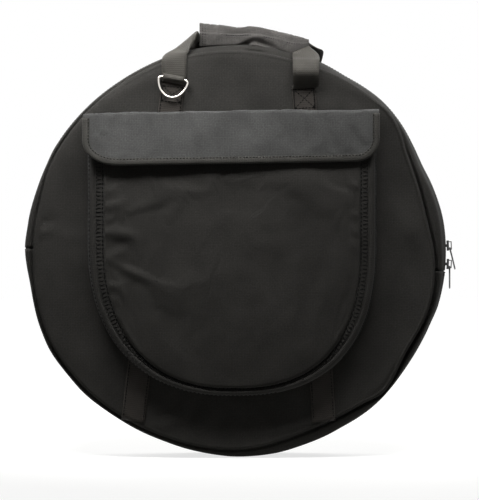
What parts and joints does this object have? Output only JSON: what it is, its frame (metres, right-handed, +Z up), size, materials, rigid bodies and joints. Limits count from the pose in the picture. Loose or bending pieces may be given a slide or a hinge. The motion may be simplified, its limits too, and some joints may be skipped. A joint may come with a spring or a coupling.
{
  "type": "cymbal bag",
  "caption": "Round padded fabric bag for cymbals, with a zipped rim that folds open, a flapped front pocket, webbing handles with a wrap-around grip and D-rings for a shoulder strap.",
  "frame": {"origin": "on the floor, under the middle of the bag's rim", "axes": "+Z up, -Y towards the side with the pocket, +X to the right seen from that side, where the zip ends"},
  "size_m": [0.5844, 0.1363, 0.5863],
  "materials": {
    "cloth": "black woven polyester with a slight sheen",
    "foam": "soft open-cell padding",
    "lining": "thin smooth nylon",
    "webbing": "woven polypropylene webbing",
    "grip_cloth": "padded woven cloth with sewn edges",
    "binding": "ribbed edge binding",
    "hook_and_loop": "matt nylon hook and loop",
    "zip_tape": "dense woven tape",
    "zip_coil": "moulded nylon coil",
    "ring_metal": "nickel-plated steel wire",
    "zip_metal": "dark plated zinc"
  },
  "bodies": {
    "bag": {"rear_panel": "cloth", "rear_foam": "foam", "rear_lining": "lining", "front_panel_lower": "cloth", "front_foam_lower": "foam", "front_lining_lower": "lining", "lower_gusset": "cloth", "lower_gusset_foam": "foam", "lower_gusset_lining": "lining", "rear_zip_strip": "cloth", "rear_zip_strip_foam": "foam", "rear_zip_strip_lining": "lining", "rear_zip_tape": "zip_tape", "rear_zip_coil": "zip_coil", "rear_left_webbing": "webbing", "rear_right_webbing": "webbing", "front_left_webbing_lower": "webbing", "front_right_webbing_lower": "webbing", "pocket_gusset_lower": "cloth", "pocket_front_lower": "cloth", "pocket_fold": "cloth", "rear_ring_loop": "webbing"},
    "front_cover": {"front_panel_upper": "cloth", "front_foam_upper": "foam", "front_lining_upper": "lining", "front_zip_strip": "cloth", "front_zip_strip_foam": "foam", "front_zip_strip_lining": "lining", "front_zip_tape": "zip_tape", "front_zip_coil": "zip_coil", "front_left_webbing_upper": "webbing", "front_right_webbing_upper": "webbing", "pocket_gusset_upper_left": "cloth", "pocket_gusset_upper_right": "cloth", "pocket_front_upper": "cloth", "pocket_loop_tape": "hook_and_loop", "front_ring_loop": "webbing"},
    "flap_top": {"flap_top": "cloth"},
    "flap_front": {"pocket_flap": "cloth", "flap_binding": "binding", "flap_hook_tape": "hook_and_loop"},
    "front_handle": {"front_handle_strap": "webbing", "grip_pad": "grip_cloth", "grip_loop_strip": "hook_and_loop"},
    "grip_wrap": {"grip_wrap": "grip_cloth", "grip_hook_strip": "hook_and_loop"},
    "rear_handle": {"rear_handle_strap": "webbing"},
    "slider_upper": {"zip_slider_upper": "zip_metal"},
    "puller_upper": {"zip_puller_upper": "zip_metal"},
    "slider_lower": {"zip_slider_lower": "zip_metal"},
    "puller_lower": {"zip_puller_lower": "zip_metal"},
    "front_ring": {"front_d_ring": "ring_metal"},
    "rear_ring": {"rear_d_ring": "ring_metal"}
  },
  "joints": [
    {"name": "cover_fold", "type": "hinge", "parent": "bag", "child": "front_cover", "pos_m": [-0.0004, -0.06, 0.26675], "axis": [0.9985, 0, -0.0549], "range_deg": [0, 60], "deforming": ["pocket_fold", "front_zip_coil", "front_zip_tape", "rear_handle_strap"]},
    {"name": "flap_lift", "type": "hinge", "parent": "front_cover", "child": "flap_top", "pos_m": [0, -0.0481, 0.468], "axis": [-1, 0, 0], "range_deg": [0, 60]},
    {"name": "flap_fold", "type": "hinge", "parent": "flap_top", "child": "flap_front", "pos_m": [0, -0.0766, 0.468], "axis": [-1, 0, 0], "range_deg": [0, 60]},
    {"name": "front_handle_lift", "type": "slide", "parent": "front_cover", "child": "front_handle", "axis": [0, 0, 1], "range_m": [0, 0.045], "deforming": ["front_handle_strap", "rear_handle_strap"]},
    {"name": "rear_handle_lift", "type": "slide", "parent": "bag", "child": "rear_handle", "axis": [0, 0, 1], "range_m": [0, 0.045], "deforming": ["rear_handle_strap"]},
    {"name": "grip_wrap_open", "type": "hinge", "parent": "front_handle", "child": "grip_wrap", "pos_m": [0.02534, -0.01, 0.58226], "axis": [-0.9966, 0, 0.0819], "range_deg": [0, 110]},
    {"name": "upper_slider_run", "type": "hinge", "parent": "bag", "child": "slider_upper", "pos_m": [0, 0, 0.274], "axis": [0, -1, 0], "range_deg": [0, 174], "deforming": ["front_zip_coil", "rear_zip_coil", "rear_handle_strap"]},
    {"name": "lower_slider_run", "type": "hinge", "parent": "bag", "child": "slider_lower", "pos_m": [0, 0, 0.274], "axis": [0, -1, 0], "range_deg": [-0.4, 0], "deforming": ["front_zip_coil", "rear_zip_coil"]},
    {"name": "upper_puller_swing", "type": "hinge", "parent": "slider_upper", "child": "puller_upper", "pos_m": [0.28978, 0, 0.28304], "axis": [0, -1, 0], "range_deg": [0, 150]},
    {"name": "lower_puller_swing", "type": "hinge", "parent": "slider_lower", "child": "puller_lower", "pos_m": [0.28946, 0, 0.25775], "axis": [0, -1, 0], "range_deg": [0, 40]},
    {"name": "front_ring_swing", "type": "hinge", "parent": "front_cover", "child": "front_ring", "pos_m": [-0.08554, -0.0513, 0.5105], "axis": [-0.993, 0, 0.1183], "range_deg": [0, 150]},
    {"name": "rear_ring_swing", "type": "hinge", "parent": "bag", "child": "rear_ring", "pos_m": [0.08951, 0.0513, 0.5085], "axis": [0.9981, 0, 0.0613], "range_deg": [0, 150]}
  ],
  "couplings": [
    {"joint": "flap_fold", "follows": "flap_lift", "ratio": 1},
    {"joint": "rear_handle_lift", "follows": "front_handle_lift", "ratio": 1}
  ]
}
